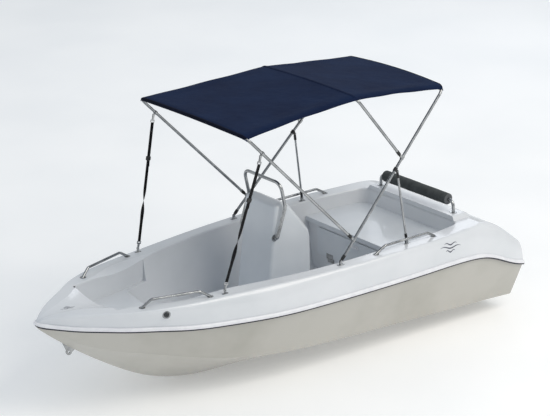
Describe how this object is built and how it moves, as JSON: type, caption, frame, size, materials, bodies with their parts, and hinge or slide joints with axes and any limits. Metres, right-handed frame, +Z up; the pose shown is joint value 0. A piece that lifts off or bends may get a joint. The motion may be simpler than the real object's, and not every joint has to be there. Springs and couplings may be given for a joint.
{
  "type": "open boat with folding sun top",
  "caption": "Small open moulded boat with a centre console, stern bench and locker, grab rails, a rail-mounted foam roll and a folding three-bow sun top.",
  "frame": {"origin": "bottom of the keel at the middle of the length, on the centreline", "axes": "+X to the bow, +Y to port, +Z up"},
  "size_m": [4, 1.5346, 2.0384],
  "materials": {
    "gelcoat_white": "glossy gelcoat over glass fibre",
    "rail_white": "satin vinyl",
    "stripe_navy": "satin vinyl",
    "plywood": "resin sealed",
    "closed_cell_foam": "cut foam",
    "brass": "satin",
    "canopy_navy": "woven, matt",
    "webbing_black": "woven webbing",
    "nylon_black": "moulded nylon",
    "roll_grey": "closed-cell foam skin",
    "lens_smoke": "clear gloss",
    "chrome": "polished",
    "stainless": "polished stainless tube"
  },
  "bodies": {
    "boat": {"hull_shell": "gelcoat_white", "deck_moulding": "gelcoat_white", "rub_rail": "rail_white", "rub_rail_insert": "stripe_navy", "stringers": "plywood", "buoyancy_foam": "closed_cell_foam", "transom_core": "plywood", "drain_plug": "brass", "bow_eye": "stainless", "bench_seat": "gelcoat_white", "hinge_fixed_leaves": "stainless", "hinge_pins": "stainless", "console": "gelcoat_white", "handrail_bow_port": "stainless", "handrail_bow_starboard": "stainless", "handrail_aft_port": "stainless", "handrail_aft_starboard": "stainless", "handrail_plates": "stainless", "handrail_screws": "stainless", "side_light_housings": "chrome", "side_light_lens_port": "lens_smoke", "side_light_lens_starboard": "lens_smoke", "console_rail": "stainless", "console_rail_plates": "stainless", "stern_bar": "stainless", "stern_bar_plates": "stainless", "bar_screws": "stainless", "stern_bar_roll": "roll_grey", "deck_hinges": "stainless", "deck_hinge_pins": "stainless", "pole_sockets": "stainless", "strap_pad_eyes": "stainless", "deck_screws": "stainless"},
    "locker_door": {"locker_door": "gelcoat_white", "hinge_door_leaves": "stainless", "locker_pull": "rail_white"},
    "main_bow": {"main_bow": "stainless", "main_bow_ends": "nylon_black", "front_bow_jaws": "nylon_black", "mid_bow_jaws": "nylon_black", "pole_jaws": "nylon_black", "bow_pins": "stainless"},
    "front_bow": {"front_bow": "stainless", "front_bow_ends": "nylon_black", "strap_eyes": "nylon_black", "canopy_front": "canopy_navy"},
    "mid_bow": {"mid_bow": "stainless", "mid_bow_ends": "nylon_black", "canopy_rear": "canopy_navy"},
    "strap_port": {"strap_webbing_port": "webbing_black", "strap_hooks_port": "stainless", "strap_buckle_port": "nylon_black"},
    "rear_pole_port": {"rear_pole_port": "stainless", "rear_pole_ends_port": "nylon_black"},
    "strap_starboard": {"strap_webbing_starboard": "webbing_black", "strap_hooks_starboard": "stainless", "strap_buckle_starboard": "nylon_black"},
    "rear_pole_starboard": {"rear_pole_starboard": "stainless", "rear_pole_ends_starboard": "nylon_black"}
  },
  "joints": [
    {"name": "locker_door_hinge", "type": "hinge", "parent": "boat", "child": "locker_door", "pos_m": [-0.876, 0, 0.407], "axis": [0, 1, 0], "range_deg": [0, 100]},
    {"name": "main_bow_tilt", "type": "hinge", "parent": "boat", "child": "main_bow", "pos_m": [-0.207, 0, 0.838], "axis": [0, -1, 0], "range_deg": [0, 25]},
    {"name": "front_bow_fold", "type": "hinge", "parent": "main_bow", "child": "front_bow", "pos_m": [-0.31935, 0, 0.9885], "axis": [0, -1, 0], "range_deg": [0, 84], "deforming": ["canopy_front", "canopy_rear"]},
    {"name": "mid_bow_fold", "type": "hinge", "parent": "main_bow", "child": "mid_bow", "pos_m": [-0.82439, 0, 1.49885], "axis": [0, -1, 0], "range_deg": [0, 78.5]},
    {"name": "strap_port_swing", "type": "hinge", "parent": "front_bow", "child": "strap_port", "pos_m": [0.49818, 0, 1.79764], "axis": [0, -1, 0], "range_deg": [-53, 0]},
    {"name": "rear_pole_port_swing", "type": "hinge", "parent": "main_bow", "child": "rear_pole_port", "pos_m": [-0.7882, 0, 1.38835], "axis": [0, -1, 0], "range_deg": [-122.8, 0]},
    {"name": "strap_starboard_swing", "type": "hinge", "parent": "front_bow", "child": "strap_starboard", "pos_m": [0.49818, 0, 1.79764], "axis": [0, -1, 0], "range_deg": [-53, 0]},
    {"name": "rear_pole_starboard_swing", "type": "hinge", "parent": "main_bow", "child": "rear_pole_starboard", "pos_m": [-0.7882, 0, 1.38835], "axis": [0, -1, 0], "range_deg": [-122.8, 0]}
  ],
  "couplings": [
    {"joint": "mid_bow_fold", "follows": "front_bow_fold", "ratio": 0.9345},
    {"joint": "strap_port_swing", "follows": "front_bow_fold", "ratio": -0.63},
    {"joint": "rear_pole_port_swing", "follows": "main_bow_tilt", "ratio": -4.908},
    {"joint": "strap_starboard_swing", "follows": "front_bow_fold", "ratio": -0.63},
    {"joint": "rear_pole_starboard_swing", "follows": "main_bow_tilt", "ratio": -4.908}
  ]
}
